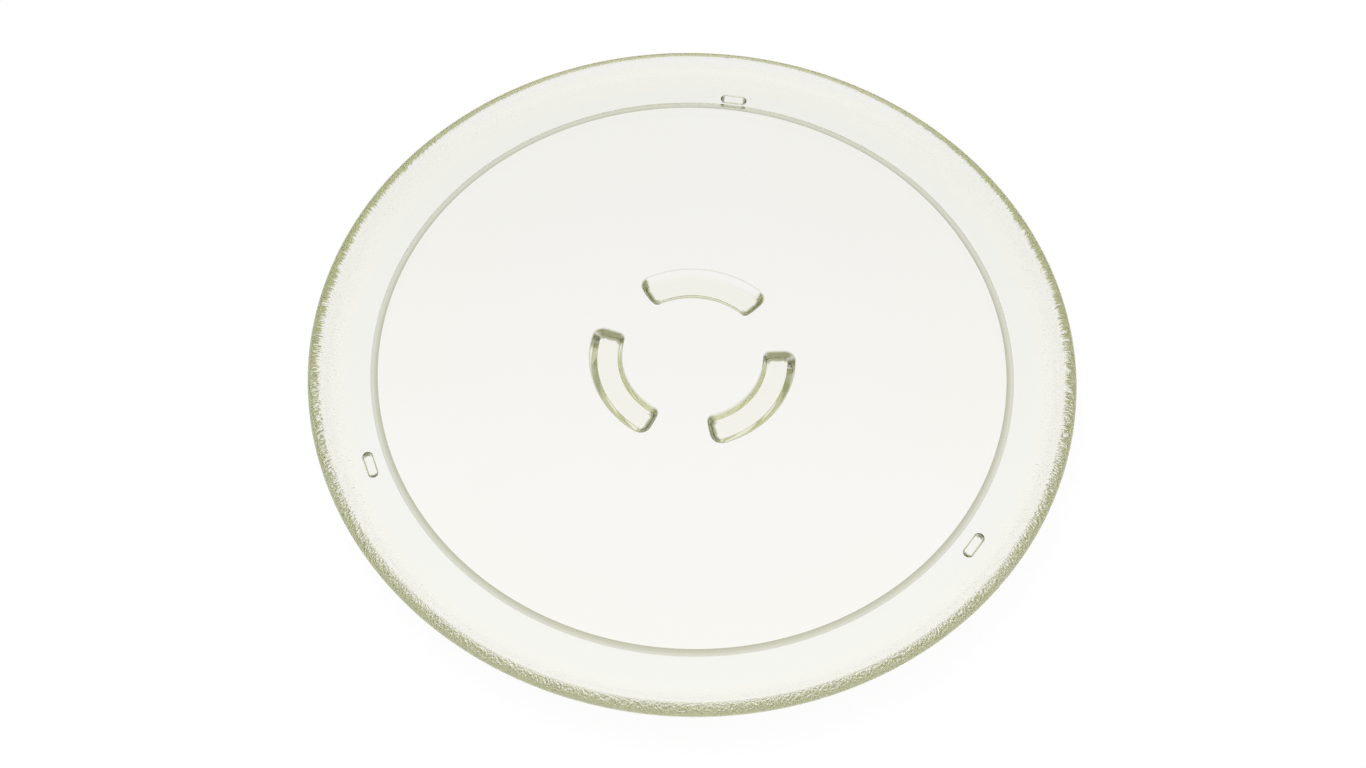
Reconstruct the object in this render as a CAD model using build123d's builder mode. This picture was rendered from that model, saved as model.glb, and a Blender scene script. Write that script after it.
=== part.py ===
from build123d import *
import os
from math import atan2, degrees, sqrt

# Pressed glass turntable plate of a microwave oven, in millimetres.
# The axis of the plate is Z, and Z = 0 is the plane that its three drive lugs stand on.
# One lug and one pip lie on +Y, the others follow round the axis.

# Plate
plate_diameter = 280.0
glass_thickness = 5.0
lip_rise = 4.8
lip_radius = 2.3
rim_bend_radius = 6.5
sweep_width = 14.0

# Ring groove pressed into the upper face, between the well and the rim
rim_width = 23.0
groove_width = 2.6
groove_depth = 0.9
groove_edge_radius = 0.2

# Drive lugs under the middle
lug_count = 3
lug_inner_diameter = 53.0
lug_outer_diameter = 76.6
lug_span = 81.5
lug_drop = 4.5
lug_inner_draw = 1.3
lug_outer_draw = 2.9
lug_end_turn = 2.6
lug_inner_corner_radius = 2.5
lug_outer_corner_radius = 4.0
lug_foot_corner_radius = 1.8
lug_edge_radius = 0.6
lug_root_radius = 1.0

# Pips under the rim, one in line with each lug
pip_offset = 6.7
pip_length = 10.4
pip_width = 3.6
pip_drop = 1.4
pip_edge_radius = 1.0

# Levels and centres worked out from the sizes above
first_lug_angle = 90.0
plate_radius = plate_diameter / 2
under_z = lug_drop
well_z = under_z + glass_thickness
lip_z = well_z + lip_rise
sweep_x = plate_radius - sweep_width
sweep_height = lip_z - under_z
lip_x = plate_radius - lip_radius
bend_z = well_z + rim_bend_radius
bend_x = lip_x - sqrt((rim_bend_radius + lip_radius) ** 2 - (bend_z - lip_z) ** 2)
lip_turn = degrees(atan2(bend_z - lip_z, bend_x - lip_x))
groove_radius = plate_radius - rim_width
groove_inner = groove_radius - groove_width / 2
groove_outer = groove_radius + groove_width / 2
lug_inner_radius = lug_inner_diameter / 2
lug_outer_radius = lug_outer_diameter / 2
foot_inner_radius = lug_inner_radius + lug_inner_draw
foot_outer_radius = lug_outer_radius - lug_outer_draw
foot_span = lug_span - 2 * lug_end_turn
pip_circle_radius = groove_radius + pip_offset
pip_start_z = under_z + glass_thickness / 2
pip_end_z = under_z - pip_drop

# One drive lug about the X axis, from its outline at the underside to the smaller one at its foot
with BuildPart() as drive_lug:
    with BuildSketch(Plane.XY.offset(under_z)) as lug_root:
        with BuildLine():
            root_outer = CenterArc((0, 0), lug_outer_radius, -lug_span / 2, lug_span)
            root_inner = CenterArc((0, 0), lug_inner_radius, -lug_span / 2, lug_span)
            Line(root_outer @ 0, root_inner @ 0)
            Line(root_outer @ 1, root_inner @ 1)
        make_face()
        fillet(lug_root.vertices().group_by(Axis.X)[0], radius=lug_inner_corner_radius)
        fillet(lug_root.vertices().group_by(Axis.X)[-1], radius=lug_outer_corner_radius)
    with BuildSketch(Plane.XY) as lug_foot:
        with BuildLine():
            foot_outer = CenterArc((0, 0), foot_outer_radius, -foot_span / 2, foot_span)
            foot_inner = CenterArc((0, 0), foot_inner_radius, -foot_span / 2, foot_span)
            Line(foot_outer @ 0, foot_inner @ 0)
            Line(foot_outer @ 1, foot_inner @ 1)
        make_face()
        fillet(lug_foot.vertices(), radius=lug_foot_corner_radius)
    loft(ruled=True)

with BuildPart() as glass_plate:
    # Half section from the axis out along the underside, round the lip and back over the well
    with BuildSketch(Plane.XZ) as section:
        with BuildLine():
            Line((0, under_z), (sweep_x, under_z))
            EllipticalCenterArc((sweep_x, lip_z), sweep_width, sweep_height, -90, arc_size=90)
            CenterArc((lip_x, lip_z), lip_radius, 0, lip_turn)
            CenterArc((bend_x, bend_z), rim_bend_radius, lip_turn - 180, 90 - lip_turn)
            Line((bend_x, well_z), (groove_outer, well_z))
            ThreePointArc(
                (groove_outer, well_z), (groove_radius, well_z - groove_depth), (groove_inner, well_z)
            )
            Line((groove_inner, well_z), (0, well_z))
            Line((0, well_z), (0, under_z))
        make_face()
        groove_corners = section.vertices().filter_by_position(
            Axis.X, groove_radius - groove_width, groove_radius + groove_width
        )
        fillet(groove_corners, radius=groove_edge_radius)
    revolve(axis=Axis.Z)

    # Drive lugs, blended into the underside and rounded round their feet
    with PolarLocations(0, lug_count, start_angle=first_lug_angle):
        add(drive_lug.part)
    underside = glass_plate.faces().filter_by(Plane.XY).group_by(Axis.Z)[1].face()
    fillet(underside.inner_wires().edges(), radius=lug_root_radius)
    fillet(glass_plate.edges().group_by(Axis.Z)[0], radius=lug_edge_radius)

    # Pips, carried down from inside the glass
    with BuildSketch(Plane.XY.offset(pip_start_z)):
        with PolarLocations(pip_circle_radius, lug_count, start_angle=first_lug_angle):
            SlotOverall(pip_length, pip_width, rotation=90)
    extrude(amount=pip_end_z - pip_start_z)
    pip_faces = glass_plate.faces().filter_by(Plane.XY).group_by(Axis.Z)[1]
    fillet(pip_faces.edges(), radius=pip_edge_radius)

glass_plate.part.label = "glass_plate"
os.makedirs("parts", exist_ok=True)
export_step(glass_plate.part, "parts/glass_plate.step")
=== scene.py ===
from math import atan2, cos, degrees, pi, radians, sin, sqrt, tan

import bmesh
import bpy
from mathutils import Matrix, Vector


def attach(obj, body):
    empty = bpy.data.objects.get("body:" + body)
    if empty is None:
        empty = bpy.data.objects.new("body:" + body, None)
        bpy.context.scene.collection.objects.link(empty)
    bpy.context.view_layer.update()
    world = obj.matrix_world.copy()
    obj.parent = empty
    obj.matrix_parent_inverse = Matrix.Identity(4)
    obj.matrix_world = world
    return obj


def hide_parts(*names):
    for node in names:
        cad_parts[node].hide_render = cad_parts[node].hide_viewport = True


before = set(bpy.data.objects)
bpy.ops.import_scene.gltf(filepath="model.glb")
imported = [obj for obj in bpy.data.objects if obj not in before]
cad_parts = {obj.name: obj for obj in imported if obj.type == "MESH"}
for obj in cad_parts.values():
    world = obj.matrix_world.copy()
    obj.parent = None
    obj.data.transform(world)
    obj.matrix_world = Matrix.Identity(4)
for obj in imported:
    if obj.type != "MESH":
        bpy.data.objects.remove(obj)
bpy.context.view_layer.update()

bl_info = {
    "name": "Glass Turntable Plate",
    "version": (1, 0, 0),
    "blender": (4, 5, 0),
    "location": "View3D > Sidebar > Turntable",
    "description": "Builds a pressed glass turntable plate and the studio it is shown in",
    "category": "Add Mesh",
}

NODE = "glass_plate"
MM = 0.001
WHITE = (1, 1, 1, 1)
BLACK = (0, 0, 0, 1)

# Steps along each rounding of the plate's section
GROOVE_EDGE_STEPS = 4
GROOVE_STEPS = 10
BEND_STEPS = 5
LIP_STEPS = 7
SWEEP_STEPS = 36

# Steps along a lug's outline, round a pip's end and down their walls, where two carry the painted shade line
# at the lug's root
CORNER_STEPS = 8
SIDE_STEPS = 48
END_STEPS = 8
PIP_STEPS = 16
ROOT_STEPS = 5
FOOT_STEPS = 8
LINE_STEPS = (2, 3)

# In metres: a length that counts as none, the reach of a merge, and how far down the groove begins
TINY_LENGTH = 1e-6
SAME_POINT = 2e-6
GROOVE_MARGIN = 2e-5

# The stipple: how steeply a face looks up where it begins and where it is full, and how soft its grains are
FACING_START = 0.1
FACING_FULL = -0.15
GRAIN_SOFTNESS = 0.4

# The camera's sensor in millimetres and its clipping distances in metres
SENSOR_WIDTH = 36.0
CLIP_START = 0.01
CLIP_END = 50.0


def length(name, description, millimetres):
    """A length property, given in millimetres and kept in metres."""
    return bpy.props.FloatProperty(
        name=name, description=description, default=millimetres * MM, unit="LENGTH", precision=5
    )


def angle(name, description, in_degrees):
    """An angle property, given in degrees."""
    return bpy.props.FloatProperty(
        name=name, description=description, default=radians(in_degrees), subtype="ANGLE"
    )


def number(name, description, default):
    """A plain number property."""
    return bpy.props.FloatProperty(name=name, description=description, default=default, precision=4)


def count(name, description, default):
    """A whole number property."""
    return bpy.props.IntProperty(name=name, description=description, default=default, min=1)


def colour(name, description, default):
    """A linear colour property."""
    return bpy.props.FloatVectorProperty(
        name=name, description=description, default=default, size=3, subtype="COLOR", min=0.0, max=1.0
    )


def place(name, description, millimetres):
    """A place property, given in millimetres and kept in metres."""
    metres = [value * MM for value in millimetres]
    return bpy.props.FloatVectorProperty(
        name=name, description=description, default=metres, size=3, subtype="TRANSLATION"
    )


class PlateSizes(bpy.types.PropertyGroup):
    """Sizes of the plate's section, its ring groove and its stippled rim."""

    plate_radius: length("Plate radius", "From the axis to the outside of the lip", 140.0)
    under_level: length("Underside level", "Height of the flat underside over the lugs' feet", 4.5)
    glass_thickness: length("Glass thickness", "Thickness of the flat part", 5.0)
    lip_rise: length("Lip rise", "From the upper face to the middle of the lip", 4.8)
    lip_radius: length("Lip radius", "Rounding of the lip", 2.3)
    sweep_width: length("Sweep width", "How far in from the edge the underside begins to rise", 14.0)
    bend_radius: length("Bend radius", "Hollow between the rim and the lip", 6.5)
    groove_radius: length("Groove radius", "From the axis to the middle of the ring groove", 117.0)
    groove_width: length("Groove width", "Width of the ring groove between its edges", 2.6)
    groove_depth: length("Groove depth", "Depth of the ring groove", 0.9)
    groove_edge: length("Groove edge", "Rounding of the groove's two edges", 0.2)
    hold: length("Hold", "Flat strip beside each bend that keeps the flat faces flat", 0.12)
    well_turns: count("Well turns", "Steps round the axis in the groove", 480)
    rim_turns: count("Rim turns", "Steps round the axis in the rim", 1540)
    stipple_start: length("Stipple start", "Radius where the stipple under the rim begins", 121.0)
    stipple_full: length("Stipple full", "Radius where the stipple has its full height", 133.0)
    stipple_top: length("Stipple top", "Height where the stipple ends, short of the lip", 12.6)
    stipple_fade: length("Stipple fade", "Height over which the stipple dies away", 3.0)
    stipple_height: length("Stipple height", "Depth of the stipple under the rim", 0.05)
    stipple_grain: length("Stipple grain", "Width of one grain of the stipple, round the axis", 1.1)
    stipple_length: length("Stipple length", "Length of one grain of the stipple, up the rim", 1.2)
    stipple_seed: count("Stipple seed", "Picks the pattern of the stipple", 7)


class LugSizes(bpy.types.PropertyGroup):
    """Sizes of the drive lugs under the middle and of the pips under the rim."""

    lug_count: count("Lugs", "How many lugs, and pips, go round the axis", 3)
    first_angle: angle("First angle", "Direction of the first lug and pip", 90.0)
    lug_inner: length("Lug inner radius", "Inner side of a lug at the underside", 26.5)
    lug_outer: length("Lug outer radius", "Outer side of a lug at the underside", 38.3)
    lug_span: angle("Lug span", "Angle that a lug takes up", 81.5)
    lug_inner_corner: length("Lug inner corner", "Rounding of a lug's inner corners at the underside", 2.5)
    lug_outer_corner: length("Lug outer corner", "Rounding of a lug's outer corners at the underside", 4.0)
    lug_inner_draft: length("Lug inner draft", "How far the inner side is drawn in at the foot", 1.3)
    lug_outer_draft: length("Lug outer draft", "How far the outer side is drawn in at the foot", 2.9)
    lug_end_turn: angle("Lug end turn", "Angle by which each end is drawn in at the foot", 2.6)
    lug_foot_corner: length("Lug foot corner", "Rounding of a lug's corners at the foot", 1.8)
    lug_root: length("Lug root", "Rounding where a lug leaves the underside", 1.0)
    lug_edge: length("Lug edge", "Rounding round a lug's foot", 0.6)
    # The end, margin and line shares set where the lugs get painted shade: dark olive at their ends, over
    # the feet's margin and in a line where they leave the underside.
    end_start: number("End start", "Share of a lug's half span where the tint of its end begins", 0.84)
    end_full: number("End full", "Share of a lug's half span where the tint of its end is full", 0.94)
    end_margin: length("End margin", "How far the tint of a lug's ends runs in over its foot", 0.9)
    lug_line: number("Lug line", "Share of the ends' tint where a lug leaves the underside", 0.3)
    pip_radius: length("Pip circle", "From the axis to the middle of a pip", 123.7)
    pip_length: length("Pip length", "Length of a pip", 10.4)
    pip_width: length("Pip width", "Width of a pip", 3.6)
    pip_drop: length("Pip drop", "How far a pip stands out of the underside", 1.4)
    pip_edge: length("Pip edge", "Rounding round a pip's foot", 1.0)
    pip_root: length("Pip root", "Rounding where a pip leaves the underside", 0.15)
    # The tip shares set the painted shade at the pips' tips.
    tip_start: number("Tip start", "Share of a pip's half length where the tint of its tip begins", 0.65)
    tip_share: number("Tip share", "Share of the ends' tint at the tips of a pip", 1.3)


class GlassFinish(bpy.types.PropertyGroup):
    """Colour and surface of the olive glass, with the tints that paint shade into the ring groove, the
    stippled rim and the ends of the lugs and pips.
    """

    body_tint: colour("Body tint", "What the glass lets through, before its density", (0.667, 0.697, 0.0))
    body_density: number("Body density", "How strongly a metre of glass takes colour away", 3.0)
    face_tint: colour("Face tint", "Tint of the glass seen straight through", (0.985, 0.975, 0.975))
    rim_tint: colour("Rim tint", "Tint of the glass outside the ring groove", (0.957, 0.952, 0.95))
    # Painted shade: the ring groove's tints darken the groove, its inner side most, in place of the shade
    # that the groove throws in the glass.
    ring_painted_shade_inner: colour("Ring inner tint", "Tint of the ring groove's inner side", (0.33, 0.33, 0.215))
    ring_painted_shade_outer: colour("Ring outer tint", "Tint of the ring groove's outer side", (0.62, 0.625, 0.52))
    foot_tint: colour("Foot tint", "Tint of the glass seen through a lug's foot", (0.93, 0.925, 0.86))
    foot_start: number("Foot start", "Share of a lug's height where the tint of its foot begins", 0.6)
    # Painted shade: a yellower tint under the stipple, in place of the olive that light caught in the rim
    # gives.
    stipple_painted_shade: colour("Grain tint", "Tint of the stippled glass under the rim", (1.0, 0.995, 0.90))
    # Painted shade at the lugs' ends and the pips' tips: a dark olive tint and a dark diffuse sheet mixed
    # over the glass.
    end_painted_shade: colour("End tint", "Tint of the glass at the ends of the lugs", (0.62, 0.64, 0.32))
    end_painted_shade_tone: colour("Painted tone", "Tone of the frost on the ends of the lugs", (0.12, 0.13, 0.03))
    end_painted_shade_share: number("Painted share", "Share of the ends of the lugs that is painted_dark", 0.50)
    index: number("Index", "Refractive index of the glass", 1.5)
    roughness: number("Roughness", "Roughness of the polished faces", 0.01)
    grain_roughness: number("Grain roughness", "Roughness that the stipple under the rim adds", 0.21)
    lip_roughness: number("Lip roughness", "Roughness that the lip adds", 0.08)
    lip_start: length("Lip start", "From the edge in to where the lip's roughness begins", 9.2)
    lip_full: length("Lip full", "From the edge in to where the lip's roughness is full", 4.6)
    fine_grain: length("Fine grain", "Size of the fine grains on the stipple", 0.7)
    fine_height: length("Fine height", "Depth of the fine grains on the stipple", 0.32)
    fine_detail: number("Fine detail", "Steps of finer noise in the fine grains", 1.0)
    ripple_scale: number("Ripple scale", "Faint waves to a metre of polished face", 45.0)
    ripple_height: length("Ripple height", "Height of the faint waves", 0.02)
    ripple_detail: number("Ripple detail", "Steps of finer noise in the faint waves", 2.0)


class StudioSetup(bpy.types.PropertyGroup):
    """Camera, floor and light of the studio, with tones that only the glass shows."""

    camera_distance: length("Camera distance", "From the well's middle to the camera", 560.0)
    camera_height: angle("Camera elevation", "Angle of view above the plate", 60.12)
    camera_swing: angle("Camera swing", "Turn of the camera round the axis", 6.86)
    camera_roll: angle("Camera roll", "Roll of the camera", -1.36)
    camera_side: length("Camera side step", "Step of the camera to its right", -3.29)
    camera_lift: length("Camera lift", "Step of the camera upwards in its own view", -12.47)
    camera_lens: number("Lens", "Focal length in millimetres", 39.92)
    floor_radius: length("Floor radius", "Radius of the floor", 6000.0)
    floor_sides: count("Floor sides", "Sides of the floor's outline", 96)
    floor_drop: length("Floor drop", "Gap between the floor and the lugs' feet", 0.05)
    floor_tone: colour("Floor tone", "Tone of the floor under light and shadow", (0.9, 0.9, 0.9))
    floor_shade: number("Floor shade", "Share of the floor that takes the plate's shadow", 0.06)
    floor_fall: number("Floor fall", "How much darker the floor in the glass is at the back", 0.07)
    floor_reach: length("Floor reach", "From the axis to where the floor has that tone", 140.0)
    ceiling_far: colour("Far ceiling", "High tone of the studio beyond the plate", (0.55, 0.575, 0.34))
    ceiling_near: colour("Near ceiling", "High tone of the studio on the camera's side", (0.98, 0.98, 0.93))
    wall_far: colour("Far wall", "Low tone of the studio beyond the plate", (0.32, 0.345, 0.18))
    wall_near: colour("Near wall", "Low tone of the studio on the camera's side", (0.80, 0.79, 0.77))
    near_start: number("Near start", "Where the near tones begin, from -1 far to 1 near", 0.0)
    near_full: number("Near full", "Where the near tones are full, from -1 far to 1 near", 0.6)
    low_end: number("Low end", "Where the low tones give way, from 0 level to 1 overhead", 0.48)
    high_start: number("High start", "Where the high tones are full, from 0 level to 1 overhead", 0.6)
    fill: number("Fill", "Brightness of the studio's even light", 0.85)
    lamp_power: number("Lamp power", "Power of the soft lamp in watts", 20.0)
    lamp_width: length("Lamp width", "Width of the soft lamp", 1400.0)
    lamp_depth: length("Lamp depth", "Depth of the soft lamp", 1000.0)
    lamp_place: place("Lamp place", "Where the soft lamp hangs", (-500.0, 600.0, 1500.0))
    bounces: count("Bounces", "How often a ray may turn in all", 96)
    glass_bounces: count("Glass bounces", "How often a ray may turn at glass", 64)


def arc(centre, radius, start, end, steps):
    """Points along an arc in the section plane, both ends included, angles in degrees."""
    turns = [radians(start + (end - start) * i / steps) for i in range(steps + 1)]
    return [(centre[0] + radius * cos(turn), centre[1] + radius * sin(turn)) for turn in turns]


def groove_section(sizes):
    """Section of the ring groove with its rounded edges, from the well outwards."""
    top = sizes.under_level + sizes.glass_thickness
    middle = sizes.groove_radius
    half = sizes.groove_width / 2
    depth = sizes.groove_depth
    edge = sizes.groove_edge
    hollow = (half * half + depth * depth) / (2 * depth)
    hollow_z = top - depth + hollow
    reach = sqrt((hollow + edge) ** 2 - (hollow_z - top + edge) ** 2)
    turn = degrees(atan2(hollow_z - top + edge, reach))
    points = [(middle - reach - sizes.hold, top)]
    points += arc((middle - reach, top - edge), edge, 90, turn, GROOVE_EDGE_STEPS)
    points += arc((middle, hollow_z), hollow, 180 + turn, 360 - turn, GROOVE_STEPS)[1:-1]
    points += arc((middle + reach, top - edge), edge, 180 - turn, 90, GROOVE_EDGE_STEPS)
    points.append((middle + reach + sizes.hold, top))
    return points


def rim_section(sizes):
    """Section of the rim, from its hollow over the lip and under the sweep to the underside."""
    under = sizes.under_level
    top = under + sizes.glass_thickness
    lip_z = top + sizes.lip_rise
    sweep_x = sizes.plate_radius - sizes.sweep_width
    sweep_rise = (lip_z - under) / sizes.sweep_width
    lip_x = sizes.plate_radius - sizes.lip_radius
    bend_z = top + sizes.bend_radius
    bend_x = lip_x - sqrt((sizes.bend_radius + sizes.lip_radius) ** 2 - (bend_z - lip_z) ** 2)
    turn = degrees(atan2(bend_z - lip_z, bend_x - lip_x))
    points = [(bend_x - sizes.hold, top)]
    points += arc((bend_x, bend_z), sizes.bend_radius, -90, turn - 180, BEND_STEPS)
    points += arc((lip_x, lip_z), sizes.lip_radius, turn, 0, LIP_STEPS)[1:]
    sweep = arc((sweep_x, 0), sizes.sweep_width, 0, -90, SWEEP_STEPS)[1:]
    points += [(radius, lip_z + height * sweep_rise) for radius, height in sweep]
    points.append((sweep_x - sizes.hold, under))
    return points


def guide_object(name, data):
    """A passing object that the plate's node tree reads."""
    guide = bpy.data.objects.new(name, data)
    bpy.context.scene.collection.objects.link(guide)
    return guide


def section_curve(name, points, path_radius):
    """A curve of a section, in the plane that Curve to Mesh sweeps round the axis."""
    data = bpy.data.curves.new(name, "CURVE")
    data.dimensions = "3D"
    spline = data.splines.new("POLY")
    spline.points.add(len(points) - 1)
    for point, (radius, height) in zip(spline.points, points):
        point.co = (radius - path_radius, -height, 0, 1)
    return guide_object(name, data)


def lug_outline(inner, outer, span, inner_corner, outer_corner):
    """Outline of a lug about the X axis, with a fixed number of points, anticlockwise."""
    half = span / 2
    high, low = half + pi / 2, -half - pi / 2
    points = []

    def corner_at(radius, sign, inside):
        """Centre and direction of a corner's rounding, which touches an end line and a circle."""
        corner = inner_corner if inside else outer_corner
        ring = radius + corner if inside else radius - corner
        along = sqrt(ring * ring - corner * corner)
        across = -sign * corner
        turn = sign * half
        return (
            along * cos(turn) - across * sin(turn),
            along * sin(turn) + across * cos(turn),
            atan2(across, along) + turn,
        )

    def add_arc(x, y, radius, start, end, steps):
        """Adds an arc about a centre, without its last point."""
        turns = [start + (end - start) * i / steps for i in range(steps)]
        points.extend((x + radius * cos(turn), y + radius * sin(turn)) for turn in turns)

    def add_line(start, end, steps):
        """Adds a straight run, without its last point."""
        points.extend(
            (start[0] + (end[0] - start[0]) * i / steps, start[1] + (end[1] - start[1]) * i / steps)
            for i in range(steps)
        )

    def touch(at, turn, corner):
        """Where a corner's rounding touches an end line."""
        return at[0] + corner * cos(turn), at[1] + corner * sin(turn)

    low_out = corner_at(outer, -1, False)
    high_out = corner_at(outer, 1, False)
    high_in = corner_at(inner, 1, True)
    low_in = corner_at(inner, -1, True)
    add_arc(0, 0, outer, low_out[2], high_out[2], SIDE_STEPS)
    add_arc(high_out[0], high_out[1], outer_corner, high_out[2], high, CORNER_STEPS)
    add_line(touch(high_out, high, outer_corner), touch(high_in, high, inner_corner), END_STEPS)
    add_arc(high_in[0], high_in[1], inner_corner, high, high_in[2] + pi, CORNER_STEPS)
    add_arc(0, 0, inner, high_in[2], low_in[2], SIDE_STEPS)
    add_arc(low_in[0], low_in[1], inner_corner, low_in[2] + pi, 2 * pi + low, CORNER_STEPS)
    add_line(touch(low_in, low, inner_corner), touch(low_out, low, outer_corner), END_STEPS)
    add_arc(low_out[0], low_out[1], outer_corner, low, low_out[2], CORNER_STEPS)
    return points


def pip_outline(at, span, width):
    """Outline of a pip across the X axis, anticlockwise."""
    radius = width / 2
    reach = span / 2 - width / 2
    points = []
    for side, start in ((1, 0), (-1, pi)):
        for i in range(PIP_STEPS + 1):
            turn = start + pi * i / PIP_STEPS
            points.append((at + radius * cos(turn), side * reach + radius * sin(turn)))
    return points


def wall_steps(lean, levels, rounding, flat, share, line):
    """Steps down one wall: way in, height and share of the ends' painted shade, from the underside to the
    foot.
    """
    top, bottom = levels
    root_radius, edge_radius = rounding
    hold, margin = flat
    turn = atan2(top - bottom, lean)
    root_reach = root_radius * tan(turn / 2)
    foot_start = lean + edge_radius * tan(turn / 2)
    steps = [(-root_reach - hold, top, 0)]
    for i in range(ROOT_STEPS + 1):
        bend = turn * i / ROOT_STEPS
        # Painted shade grows down the root, with a darker line at two steps where the lug leaves the
        # underside.
        tint = max(i / ROOT_STEPS * share, line if i in LINE_STEPS else 0)
        steps.append((root_radius * sin(bend) - root_reach, top - root_radius * (1 - cos(bend)), tint))
    for i in range(FOOT_STEPS + 1):
        bend = turn * (1 - i / FOOT_STEPS)
        steps.append((foot_start - edge_radius * sin(bend), bottom + edge_radius * (1 - cos(bend)), share))
    steps.append((foot_start + hold, bottom, share))
    # The painted shade runs on over the foot's margin and stops there.
    steps.append((foot_start + hold + margin, bottom, 0))
    return steps


def foot_mesh(name, outlines, levels, rounding, flat, shares, line):
    """A lug or pip: walls between two outlines, rounded at the root and round the foot, with each point's
    share of painted shade kept as end.
    """
    root, foot = outlines
    shape = bmesh.new()
    # The end layer holds each point's share of painted shade.
    end = shape.verts.layers.float.new("end")
    rings = []
    for j, (x, y) in enumerate(root):
        run = Vector(root[(j + 1) % len(root)]) - Vector(root[j - 1])
        draw = Vector(foot[j]) - Vector(root[j])
        lean = draw.length
        inward = Vector((-run.y, run.x)) if lean < TINY_LENGTH else draw
        inward.normalize()
        ring = []
        for way_in, height, share in wall_steps(lean, levels, rounding, flat, shares[j], line):
            point = shape.verts.new((x + inward.x * way_in, y + inward.y * way_in, height))
            point[end] = share
            ring.append(point)
        rings.append(ring)
    for j, two in enumerate(rings):
        one = rings[j - 1]
        for i in range(len(one) - 1):
            shape.faces.new((one[i], one[i + 1], two[i + 1], two[i]))
    sole = shape.faces.new([ring[-1] for ring in rings])
    bmesh.ops.triangulate(shape, faces=[sole])
    mesh = bpy.data.meshes.new(name)
    shape.to_mesh(mesh)
    shape.free()
    return guide_object(name, mesh)


def plate_guides(sizes, lugs):
    """The two sections, the lug and the pip that the node tree turns and repeats."""
    root = lug_outline(
        lugs.lug_inner, lugs.lug_outer, lugs.lug_span, lugs.lug_inner_corner, lugs.lug_outer_corner
    )
    foot = lug_outline(
        lugs.lug_inner + lugs.lug_inner_draft,
        lugs.lug_outer - lugs.lug_outer_draft,
        lugs.lug_span - 2 * lugs.lug_end_turn,
        lugs.lug_foot_corner,
        lugs.lug_foot_corner,
    )
    # Shares of painted shade: the lugs' ends and the pips' tips.
    reach = [abs(atan2(y, x)) * 2 / lugs.lug_span for x, y in root]
    fade = lugs.end_full - lugs.end_start
    ends = [min(max((share - lugs.end_start) / fade, 0), 1) for share in reach]
    pip = pip_outline(lugs.pip_radius, lugs.pip_length, lugs.pip_width)
    along = [abs(y) * 2 / lugs.pip_length for _, y in pip]
    tips = [lugs.tip_share * max(share - lugs.tip_start, 0) / (1 - lugs.tip_start) for share in along]
    under = sizes.under_level
    return {
        "Groove section": section_curve("groove_guide", groove_section(sizes), sizes.plate_radius),
        "Rim section": section_curve("rim_guide", rim_section(sizes), sizes.plate_radius),
        "Lug": foot_mesh(
            "lug_guide",
            (root, foot),
            (under, 0),
            (lugs.lug_root, lugs.lug_edge),
            (sizes.hold, lugs.end_margin),
            ends,
            lugs.lug_line,
        ),
        "Pip": foot_mesh(
            "pip_guide",
            (pip, pip),
            (under, under - lugs.pip_drop),
            (lugs.pip_root, lugs.pip_edge),
            (sizes.hold, sizes.hold),
            tips,
            0,
        ),
    }


class NodeField:
    """A socket of a node tree, with the operators that add its maths nodes."""

    def __init__(self, tree, socket=None):
        self.tree = tree
        self.socket = socket

    def node(self, kind, settings=None, inputs=None, output=0):
        """Adds a node, sets it, fills its sockets, a list by several links, and gives back one output."""
        made = self.tree.nodes.new(kind)
        for key, value in (settings or {}).items():
            setattr(made, key, value)
        for key, value in (inputs or {}).items():
            entry = made.inputs[key]
            for item in value if isinstance(value, list) else [value]:
                if isinstance(item, NodeField):
                    self.tree.links.new(item.socket, entry)
                else:
                    entry.default_value = item
        return NodeField(self.tree, made.outputs[output] if made.outputs else None)

    def maths(self, operation, *values):
        """A Math node on values that are sockets or numbers."""
        return self.node("ShaderNodeMath", {"operation": operation}, dict(enumerate(values)))

    def __add__(self, other):
        return self.maths("ADD", self, other)

    __radd__ = __add__

    def __sub__(self, other):
        return self.maths("SUBTRACT", self, other)

    def __rsub__(self, other):
        return self.maths("SUBTRACT", other, self)

    def __mul__(self, other):
        return self.maths("MULTIPLY", self, other)

    __rmul__ = __mul__

    def __truediv__(self, other):
        return self.maths("DIVIDE", self, other)

    def __rtruediv__(self, other):
        return self.maths("DIVIDE", other, self)

    def __abs__(self):
        return self.maths("ABSOLUTE", self)

    def below(self, limit):
        """1 where the value is under the limit, and 0 elsewhere."""
        return self.maths("LESS_THAN", self, limit)

    def either(self, other):
        """The greater of two values."""
        return self.maths("MAXIMUM", self, other)

    def blend(self, start, end):
        """A smooth step from 0 at start to 1 at end."""
        return self.node(
            "ShaderNodeMapRange",
            {"interpolation_type": "SMOOTHSTEP"},
            {"Value": self, "From Min": start, "From Max": end},
        )

    def mix(self, one, two):
        """A colour that goes from one to two as this value goes from 0 to 1."""
        return self.node("ShaderNodeMix", {"data_type": "RGBA"}, {"Factor": self, 6: one, 7: two}, 2)


def opaque(tone):
    """A colour property as a socket's four values."""
    return (*tone, 1)


def marked(shape, name, value):
    """Geometry with a value kept on its points, for the material to read."""
    return shape.node(
        "GeometryNodeStoreNamedAttribute",
        {"data_type": "FLOAT", "domain": "POINT"},
        {"Geometry": shape, "Name": name, "Value": value},
    )


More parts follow.
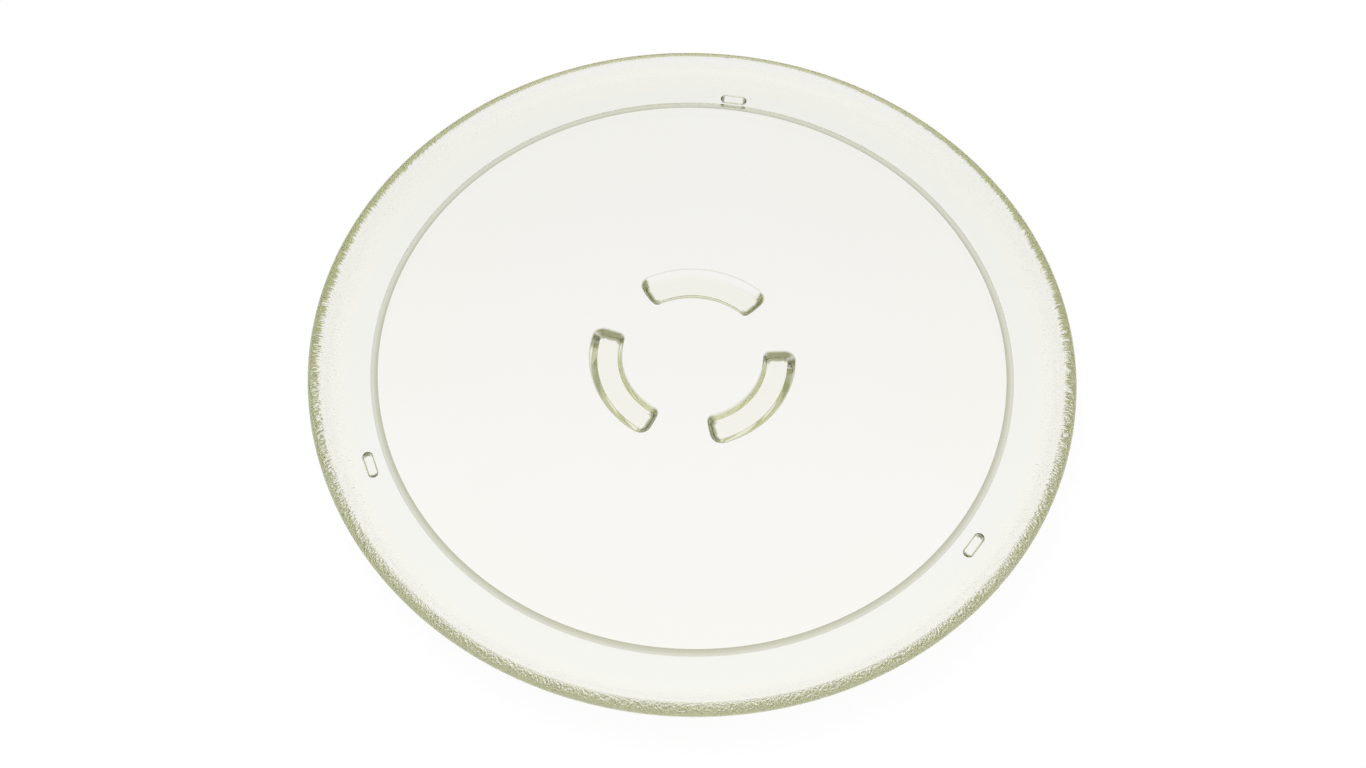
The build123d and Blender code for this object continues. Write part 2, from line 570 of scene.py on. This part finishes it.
def tree_inputs(sizes, lugs, guides, glass):
    """The plate tree's named inputs, each with its kind of socket and its value."""
    inputs = {name: ("NodeSocketObject", guide) for name, guide in guides.items()}
    inputs["Glass"] = ("NodeSocketMaterial", glass)
    whole = {
        "Count": lugs.lug_count,
        "Well turns": sizes.well_turns,
        "Rim turns": sizes.rim_turns,
    }
    inputs.update({name: ("NodeSocketInt", value) for name, value in whole.items()})
    measures = {
        "First angle": lugs.first_angle,
        "Plate radius": sizes.plate_radius,
        "Well level": sizes.under_level + sizes.glass_thickness,
        "Under level": sizes.under_level,
        "Stipple start": sizes.stipple_start,
        "Stipple full": sizes.stipple_full,
        "Stipple top": sizes.stipple_top,
        "Stipple fade": sizes.stipple_fade,
        "Stipple height": sizes.stipple_height,
        "Stipple grain": sizes.stipple_grain,
        "Stipple length": sizes.stipple_length,
        "Seed": float(sizes.stipple_seed),
    }
    inputs.update({name: ("NodeSocketFloat", value) for name, value in measures.items()})
    return inputs


def plain_plate(given):
    """The closed plate without its stipple: turned sections, repeated lugs and pips, filled faces."""
    make = given["Count"].node

    def shape_of(name):
        """The shape of a guide."""
        settings = {"transform_space": "ORIGINAL"}
        return make("GeometryNodeObjectInfo", settings, {"Object": given[name]}, "Geometry")

    def turned(section, turns):
        """A section swept round the axis."""
        path = make(
            "GeometryNodeCurvePrimitiveCircle",
            {"mode": "RADIUS"},
            {"Resolution": given[turns], "Radius": given["Plate radius"]},
        )
        return make("GeometryNodeCurveToMesh", {}, {"Curve": path, "Profile Curve": shape_of(section)})

    step = make("GeometryNodeInputIndex") * (2 * pi) / given["Count"] + given["First angle"]
    turn = make("ShaderNodeCombineXYZ", {}, {"Z": step})
    middle = make("GeometryNodePoints", {}, {"Count": given["Count"]})

    def repeated(name):
        """A guide's shape repeated round the axis."""
        spread = make(
            "GeometryNodeInstanceOnPoints",
            {},
            {"Points": middle, "Instance": shape_of(name), "Rotation": turn},
        )
        return make("GeometryNodeRealizeInstances", {}, {"Geometry": spread})

    def joined(*parts):
        """Several shapes as one, kept in their order, which the last link made heads."""
        return make("GeometryNodeJoinGeometry", {}, {0: list(reversed(parts))})

    position = make("GeometryNodeInputPosition")
    height = make("ShaderNodeSeparateXYZ", {}, {"Vector": position}, "Z")
    # The groove's faces are marked as ring, where the material paints shade.
    in_groove = height.below(given["Well level"] - GROOVE_MARGIN)
    walls = joined(
        marked(turned("Groove section", "Well turns"), "ring", in_groove),
        turned("Rim section", "Rim turns"),
        repeated("Lug"),
        repeated("Pip"),
    )
    faces_beside = make("GeometryNodeInputMeshEdgeNeighbors")

    def filled(level):
        """A flat face between the walls' open edges at a level."""
        open_edge = faces_beside.below(2) * abs(height - given[level]).below(TINY_LENGTH)
        loops = make("GeometryNodeMeshToCurve", {}, {"Mesh": walls, "Selection": open_edge})
        flat = make("GeometryNodeFillCurve", {}, {"Curve": loops})
        lift = make("ShaderNodeCombineXYZ", {}, {"Z": given[level]})
        return make("GeometryNodeTransform", {}, {"Geometry": flat, "Translation": lift})

    whole = joined(walls, filled("Well level"), filled("Under level"))
    merged = make("GeometryNodeMergeByDistance", {}, {"Geometry": whole, "Distance": SAME_POINT})
    return make("GeometryNodeSetShadeSmooth", {}, {"Geometry": merged})


def stippled(given, plate):
    """The plate with the stipple pressed in under its rim, and marked there as grain."""
    make = plate.node
    position = make("GeometryNodeInputPosition")
    height = make("ShaderNodeSeparateXYZ", {}, {"Vector": position}, "Z")
    across = make("ShaderNodeVectorMath", {"operation": "MULTIPLY"}, {0: position, 1: (1, 1, 0)})
    radius = make("ShaderNodeVectorMath", {"operation": "LENGTH"}, {0: across}, "Value")
    facing = make("GeometryNodeInputNormal")
    facing_up = make("ShaderNodeSeparateXYZ", {}, {"Vector": facing}, "Z")
    outward = radius.blend(given["Stipple start"], given["Stipple full"])
    below_lip = height.blend(given["Stipple top"], given["Stipple top"] - given["Stipple fade"])
    under_rim = facing_up.blend(FACING_START, FACING_FULL)
    reach = outward * below_lip

    around = make("ShaderNodeVectorMath", {"operation": "NORMALIZE"}, {0: across})
    spread = make(
        "ShaderNodeVectorMath",
        {"operation": "SCALE"},
        {0: around, "Scale": given["Plate radius"] / given["Stipple grain"]},
    )
    up_rim = make("ShaderNodeCombineXYZ", {}, {"Z": (radius + height) / given["Stipple length"]})
    cells = make(
        "ShaderNodeTexVoronoi",
        {"voronoi_dimensions": "4D", "feature": "SMOOTH_F1"},
        {
            "Vector": make("ShaderNodeVectorMath", {"operation": "ADD"}, {0: spread, 1: up_rim}),
            "W": given["Seed"],
            "Scale": 1.0,
            "Smoothness": GRAIN_SOFTNESS,
        },
        "Distance",
    )
    dent = cells * reach * under_rim * given["Stipple height"] * -1.0
    shift = make("ShaderNodeVectorMath", {"operation": "SCALE"}, {0: facing, "Scale": dent})
    # The grain mark sets the stipple's roughness and bump, and also where the material paints shade under
    # the rim.
    grained = marked(plate, "grain", reach * under_rim)
    return make("GeometryNodeSetPosition", {}, {"Geometry": grained, "Offset": shift})


def plate_tree(inputs):
    """The node tree that turns the sections, repeats the lugs and pips and stipples the rim."""
    tree = bpy.data.node_groups.new("Pressed plate", "GeometryNodeTree")
    for name, (kind, _) in inputs.items():
        tree.interface.new_socket(name=name, in_out="INPUT", socket_type=kind)
    tree.interface.new_socket(name="Geometry", in_out="OUTPUT", socket_type="NodeSocketGeometry")
    make = NodeField(tree).node
    entry = make("NodeGroupInput").socket.node
    given = {socket.name: NodeField(tree, socket) for socket in entry.outputs if socket.name}
    solid = make("GeometryNodeRealizeInstances", {}, {"Geometry": stippled(given, plain_plate(given))})
    dressed = make("GeometryNodeSetMaterial", {}, {"Geometry": solid, "Material": given["Glass"]})
    make("NodeGroupOutput", {}, {0: dressed})
    return tree


def pressed_mesh(context, inputs):
    """The plate's plain mesh, from one evaluation of its node tree."""
    tree = plate_tree(inputs)
    carrier = guide_object("plate_carrier", bpy.data.meshes.new("plate_carrier"))
    modifier = carrier.modifiers.new("Pressed plate", "NODES")
    modifier.node_group = tree
    for item in tree.interface.items_tree:
        if item.in_out == "INPUT":
            modifier[item.identifier] = inputs[item.name][1]
    carrier.update_tag()
    graph = context.evaluated_depsgraph_get()
    mesh = bpy.data.meshes.new_from_object(carrier.evaluated_get(graph))
    bpy.data.objects.remove(carrier)
    return mesh


def turn_outwards(mesh):
    """Points the faces of a closed mesh outwards, and raises an error where it is open."""
    shape = bmesh.new()
    shape.from_mesh(mesh)
    bmesh.ops.recalc_face_normals(shape, faces=shape.faces)
    loose = [edge for edge in shape.edges if len(edge.link_faces) != 2]
    if loose:
        raise RuntimeError(f"the plate has {len(loose)} open edges")
    shape.to_mesh(mesh)
    shape.free()


def fresh_nodes(owner):
    """Empties the node tree of a material or world and gives the method that adds its nodes."""
    owner.use_nodes = True
    owner.node_tree.nodes.clear()
    return NodeField(owner.node_tree).node


def olive_glass(sizes, finish):
    """Clear pressed glass with an olive body, tinted where the feet are, with painted shade where the ring,
    the stipple and the ends are.
    """
    material = bpy.data.materials.new("olive_glass")
    make = fresh_nodes(material)
    start = make("ShaderNodeTexCoord", {}, {}, "Object")
    across = make("ShaderNodeVectorMath", {"operation": "MULTIPLY"}, {0: start, 1: (1, 1, 0)})
    radius = make("ShaderNodeVectorMath", {"operation": "LENGTH"}, {0: across}, "Value")
    height = make("ShaderNodeSeparateXYZ", {}, {"Vector": start}, "Z")
    ring, end, grain = (
        make("ShaderNodeAttribute", {"attribute_name": name}, {}, "Fac") for name in ("ring", "end", "grain")
    )
    half = sizes.groove_width / 2
    outward = radius.blend(sizes.groove_radius - half, sizes.groove_radius + half)
    lip = radius.blend(sizes.plate_radius - finish.lip_start, sizes.plate_radius - finish.lip_full)
    foot = height.blend(sizes.under_level * finish.foot_start, 0)

    tint = outward.mix(opaque(finish.face_tint), opaque(finish.rim_tint))
    # Painted shade in the ring groove, darkest on its inner side.
    tint = ring.mix(tint, outward.mix(opaque(finish.ring_painted_shade_inner), opaque(finish.ring_painted_shade_outer)))
    tint = foot.mix(tint, opaque(finish.foot_tint))
    # Painted shade under the stippled rim.
    tint = grain.mix(tint, opaque(finish.stipple_painted_shade))
    # Painted shade: dark olive at the lugs' ends, along their roots and at the pips' tips.
    tint = end.mix(tint, opaque(finish.end_painted_shade))

    def noise(scale, detail):
        """Soft noise through the glass."""
        return make("ShaderNodeTexNoise", {}, {"Vector": start, "Scale": scale, "Detail": detail}, "Fac")

    ripple = noise(finish.ripple_scale, finish.ripple_detail)
    pebble = noise(1 / finish.fine_grain, finish.fine_detail)
    relief = pebble * grain * finish.fine_height + ripple * finish.ripple_height
    bump = make("ShaderNodeBump", {}, {"Strength": 1.0, "Distance": 1.0, "Height": relief})
    glass = make(
        "ShaderNodeBsdfPrincipled",
        {},
        {
            "Base Color": tint,
            "Roughness": finish.roughness + grain * finish.grain_roughness + lip * finish.lip_roughness,
            "IOR": finish.index,
            "Transmission Weight": 1.0,
            "Normal": bump,
        },
    )
    # Painted shade: a dark diffuse sheet mixed over the glass at the lugs' ends and the pips' tips.
    painted_shade_sheet = make("ShaderNodeBsdfDiffuse", {}, {"Color": opaque(finish.end_painted_shade_tone)})
    surface = make("ShaderNodeMixShader", {}, {0: end * finish.end_painted_shade_share, 1: glass, 2: painted_shade_sheet})
    body = make(
        "ShaderNodeVolumeAbsorption",
        {},
        {"Color": opaque(finish.body_tint), "Density": finish.body_density},
    )
    make("ShaderNodeOutputMaterial", {}, {"Surface": surface, "Volume": body})
    return material


class TURNTABLE_OT_plate(bpy.types.Operator):
    """Builds the glass plate with its groove, lip, lugs, pips and stippled rim"""

    bl_idname = "turntable.plate"
    bl_label = "Glass plate"

    def execute(self, context):
        scene = context.scene
        sizes, lugs = scene.turntable_plate, scene.turntable_lugs
        glass = olive_glass(sizes, scene.turntable_glass)
        guides = plate_guides(sizes, lugs)
        mesh = pressed_mesh(context, tree_inputs(sizes, lugs, guides, glass))
        for guide in guides.values():
            bpy.data.objects.remove(guide)
        turn_outwards(mesh)
        plate = bpy.data.objects.new("pressed_glass_plate", mesh)
        scene.collection.objects.link(plate)
        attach(plate, "root")
        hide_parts(NODE)
        return {"FINISHED"}


def ray_kinds(make):
    """Whether a ray comes from the camera, and whether it comes from the glass."""
    camera, glossy, passed = (
        make("ShaderNodeLightPath", {}, {}, kind)
        for kind in ("Is Camera Ray", "Is Glossy Ray", "Is Transmission Ray")
    )
    return camera, glossy.either(passed)


def floor_finish(studio):
    """A white floor with the plate's shadow, with painted shade that makes it a little darker at the back as
    the glass shows it.
    """
    material = bpy.data.materials.new("studio_floor")
    make = fresh_nodes(material)
    camera, through = ray_kinds(make)
    start = make("ShaderNodeTexCoord", {}, {}, "Object")
    away = (-sin(studio.camera_swing), cos(studio.camera_swing), 0)
    depth = make("ShaderNodeVectorMath", {"operation": "DOT_PRODUCT"}, {0: start, 1: away}, "Value")
    # Painted shade: the floor that the glass shows falls darker towards the back.
    fall = depth.blend(-studio.floor_reach, studio.floor_reach) * studio.floor_fall
    tone = (through * fall).mix(WHITE, BLACK)
    glow = make("ShaderNodeEmission", {}, {"Color": tone, "Strength": 1.0})
    matt = make("ShaderNodeBsdfDiffuse", {}, {"Color": opaque(studio.floor_tone)})
    seen = through.either(camera * (1 - studio.floor_shade))
    surface = make("ShaderNodeMixShader", {}, {0: seen, 1: matt, 2: glow})
    make("ShaderNodeOutputMaterial", {}, {"Surface": surface})
    return material


def studio_world(studio):
    """Even light, white behind the plate, and toned walls and ceiling that only the glass shows."""
    world = bpy.data.worlds.new("studio")
    make = fresh_nodes(world)
    camera, through = ray_kinds(make)
    way = make("ShaderNodeTexCoord", {}, {}, "Generated")
    nearer = (sin(studio.camera_swing), -cos(studio.camera_swing), 0)
    toward = make("ShaderNodeVectorMath", {"operation": "DOT_PRODUCT"}, {0: way, 1: nearer}, "Value")
    near = toward.blend(studio.near_start, studio.near_full)
    rise = make("ShaderNodeSeparateXYZ", {}, {"Vector": way}, "Z")
    high = rise.blend(studio.low_end, studio.high_start)
    ceiling = near.mix(opaque(studio.ceiling_far), opaque(studio.ceiling_near))
    wall = near.mix(opaque(studio.wall_far), opaque(studio.wall_near))
    even = (studio.fill, studio.fill, studio.fill, 1)
    shade = camera.mix(through.mix(even, high.mix(wall, ceiling)), WHITE)
    sky = make("ShaderNodeBackground", {}, {"Color": shade, "Strength": 1.0})
    make("ShaderNodeOutputWorld", {}, {"Surface": sky})
    return world


def studio_floor(studio):
    """A round floor just under the lugs' feet."""
    shape = bmesh.new()
    bmesh.ops.create_circle(
        shape, cap_ends=True, segments=studio.floor_sides, radius=studio.floor_radius
    )
    bmesh.ops.translate(shape, verts=shape.verts, vec=(0, 0, -studio.floor_drop))
    mesh = bpy.data.meshes.new("studio_floor")
    shape.to_mesh(mesh)
    shape.free()
    mesh.materials.append(floor_finish(studio))
    return bpy.data.objects.new("studio_floor", mesh)


def soft_lamp(studio):
    """A wide lamp over the plate, which the glass doesn't show."""
    data = bpy.data.lights.new("soft_lamp", "AREA")
    data.shape = "RECTANGLE"
    data.size = studio.lamp_width
    data.size_y = studio.lamp_depth
    data.energy = studio.lamp_power
    lamp = bpy.data.objects.new("soft_lamp", data)
    lamp.location = studio.lamp_place
    lamp.rotation_euler = (-lamp.location).to_track_quat("-Z", "Y").to_euler()
    lamp.visible_glossy = False
    lamp.visible_transmission = False
    return lamp


def photo_camera(studio, level):
    """A camera at the photograph's viewing angle, a small step off the line to the well's middle."""
    data = bpy.data.cameras.new("camera")
    data.sensor_fit = "HORIZONTAL"
    data.sensor_width = SENSOR_WIDTH
    data.lens = studio.camera_lens
    data.clip_start = CLIP_START
    data.clip_end = CLIP_END
    camera = bpy.data.objects.new("camera", data)
    rise, roll = studio.camera_height, studio.camera_roll
    right = Vector((1, 0, 0))
    up = Vector((0, sin(rise), cos(rise)))
    back = Vector((0, -cos(rise), sin(rise)))
    stand = back * studio.camera_distance + right * studio.camera_side + up * studio.camera_lift
    side = right * cos(roll) - up * sin(roll)
    head = right * sin(roll) + up * cos(roll)
    axes = Matrix((side, head, back)).transposed().to_4x4()
    swing = Matrix.Rotation(studio.camera_swing, 4, "Z")
    lift = Matrix.Translation((0, 0, level))
    camera.matrix_world = lift @ swing @ Matrix.Translation(stand) @ axes
    return camera


class TURNTABLE_OT_studio(bpy.types.Operator):
    """Sets up the floor, the light and the camera"""

    bl_idname = "turntable.studio"
    bl_label = "Studio"

    def execute(self, context):
        scene = context.scene
        studio, sizes = scene.turntable_studio, scene.turntable_plate
        floor = studio_floor(studio)
        lamp = soft_lamp(studio)
        camera = photo_camera(studio, sizes.under_level + sizes.glass_thickness)
        for item in (floor, lamp, camera):
            scene.collection.objects.link(item)
        scene.world = studio_world(studio)
        scene.camera = camera
        scene.view_settings.view_transform = "Standard"
        scene.cycles.max_bounces = studio.bounces
        scene.cycles.glossy_bounces = studio.glass_bounces
        scene.cycles.transmission_bounces = studio.glass_bounces
        return {"FINISHED"}


class TURNTABLE_PT_panel(bpy.types.Panel):
    """Lists the plate's and the studio's operators, with their sizes and colours"""

    bl_idname = "TURNTABLE_PT_panel"
    bl_label = "Glass turntable plate"
    bl_space_type = "VIEW_3D"
    bl_region_type = "UI"
    bl_category = "Turntable"

    def draw(self, context):
        for operator in OPERATORS:
            self.layout.operator(operator.bl_idname)
        for name, group in GROUPS.items():
            box = self.layout.box()
            for key in group.__annotations__:
                box.prop(getattr(context.scene, name), key)


GROUPS = {
    "turntable_plate": PlateSizes,
    "turntable_lugs": LugSizes,
    "turntable_glass": GlassFinish,
    "turntable_studio": StudioSetup,
}
OPERATORS = (TURNTABLE_OT_plate, TURNTABLE_OT_studio)
CLASSES = (*GROUPS.values(), *OPERATORS, TURNTABLE_PT_panel)


def register():
    """Registers the classes and puts their properties on the scene."""
    for item in CLASSES:
        bpy.utils.register_class(item)
    for name, group in GROUPS.items():
        setattr(bpy.types.Scene, name, bpy.props.PointerProperty(type=group))


def unregister():
    """Takes the properties off the scene and unregisters the classes."""
    for name in GROUPS:
        delattr(bpy.types.Scene, name)
    for item in reversed(CLASSES):
        bpy.utils.unregister_class(item)


def main():
    """Builds the plate and its studio."""
    register()
    bpy.ops.turntable.plate()
    bpy.ops.turntable.studio()


if __name__ == "__main__":
    main()
